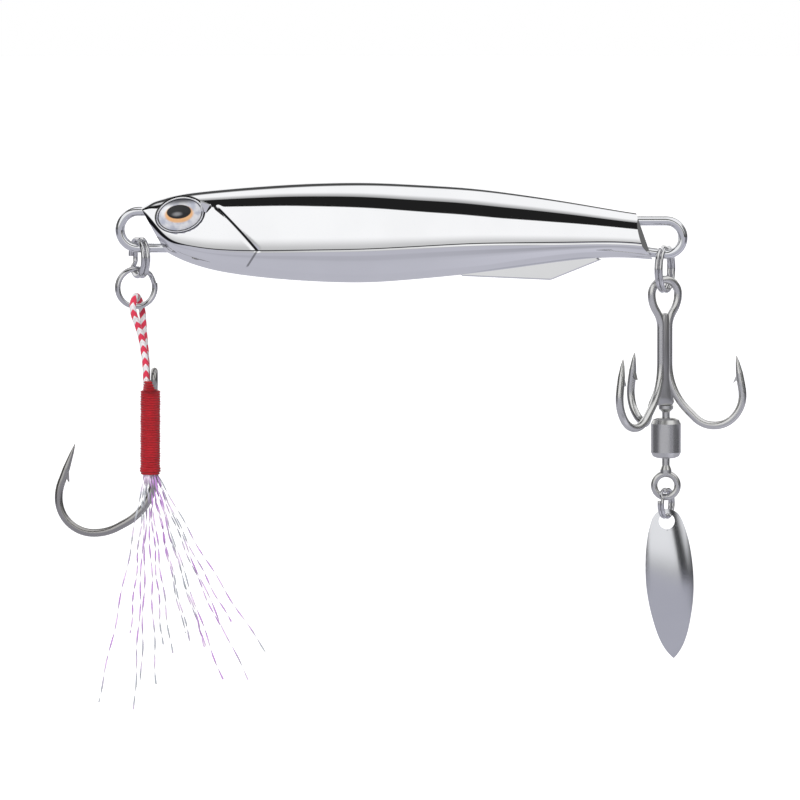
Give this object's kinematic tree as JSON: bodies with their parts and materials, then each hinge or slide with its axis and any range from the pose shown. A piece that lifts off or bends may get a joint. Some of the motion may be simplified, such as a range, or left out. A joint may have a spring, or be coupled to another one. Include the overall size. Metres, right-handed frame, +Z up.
{
  "type": "fishing lure",
  "caption": "Chromed metal casting jig on a through wire, with a corded assist hook on split rings at the nose and a treble hook, barrel swivel and willow blade at the tail.",
  "frame": {"origin": "centre of the nose loop, where the line ties on", "axes": "+X from nose to tail, -Y the lure's left side, +Z up to its back"},
  "size_m": [0.1038, 0.0173, 0.0791],
  "materials": {
    "cast_chrome": "mirror plating",
    "wire_steel": "polished",
    "ring_steel": "bright",
    "hook_nickel": "dark nickel",
    "treble_steel": "satin tin",
    "solder": "satin",
    "swivel_steel": "satin nickel",
    "blade_chrome": "mirror plating",
    "eye_print": "printed foil",
    "clear_dome": "gloss",
    "cord_braid": "braided",
    "red_thread": "wound",
    "tinsel": "pearl"
  },
  "bodies": {
    "lure": {"body": "cast_chrome", "through_wire": "wire_steel", "eye_foil_left": "eye_print", "eye_foil_right": "eye_print", "eye_dome_left": "clear_dome", "eye_dome_right": "clear_dome"},
    "nose_ring": {"nose_split_ring": "ring_steel"},
    "assist_ring": {"assist_split_ring": "ring_steel"},
    "assist_rig": {"assist_cord": "cord_braid", "assist_hook": "hook_nickel", "assist_thread": "red_thread", "flash_fibres": "tinsel"},
    "tail_ring": {"tail_split_ring": "ring_steel"},
    "treble": {"treble_double_hook": "treble_steel", "treble_single_hook": "treble_steel", "treble_solder": "solder", "swivel_stem": "swivel_steel"},
    "barrel": {"swivel_barrel": "swivel_steel"},
    "swivel_end": {"swivel_eye": "swivel_steel"},
    "blade_ring": {"blade_split_ring": "ring_steel"},
    "blade": {"spinner_blade": "blade_chrome"}
  },
  "joints": [
    {"name": "nose_ring_swing", "type": "hinge", "parent": "lure", "child": "nose_ring", "pos_m": [0.00015, 0, -0.00275], "axis": [1, 0, 0], "range_deg": [-40, 40]},
    {"name": "assist_ring_swing", "type": "hinge", "parent": "nose_ring", "child": "assist_ring", "pos_m": [0.00015, 0, -0.00698], "axis": [0.515, -0.8572, 0], "range_deg": [-25, 25]},
    {"name": "assist_hook_swing", "type": "hinge", "parent": "assist_ring", "child": "assist_rig", "pos_m": [-0.00033, 0, -0.01156], "axis": [0.9703, 0.2419, 0], "range_deg": [-35, 35]},
    {"name": "tail_ring_swing", "type": "hinge", "parent": "lure", "child": "tail_ring", "pos_m": [0.0789, 0, -0.0037], "axis": [1, 0, 0], "range_deg": [-35, 35]},
    {"name": "treble_swing", "type": "hinge", "parent": "tail_ring", "child": "treble", "pos_m": [0.0789, 0, -0.0092], "axis": [0.309, 0.9511, 0], "range_deg": [-25, 25]},
    {"name": "barrel_turn", "type": "hinge", "parent": "treble", "child": "barrel", "pos_m": [0.0791, 0, -0.0313], "axis": [0, 0, 1], "continuous": true},
    {"name": "swivel_turn", "type": "hinge", "parent": "barrel", "child": "swivel_end", "pos_m": [0.0791, 0, -0.0343], "axis": [0, 0, 1], "continuous": true},
    {"name": "blade_ring_swing", "type": "hinge", "parent": "swivel_end", "child": "blade_ring", "pos_m": [0.0791, 0, -0.0402], "axis": [1, 0, 0], "range_deg": [-35, 35]},
    {"name": "blade_swing", "type": "hinge", "parent": "blade_ring", "child": "blade", "pos_m": [0.07915, 0, -0.04323], "axis": [0.4067, 0.9135, 0], "range_deg": [-25, 25]}
  ]
}
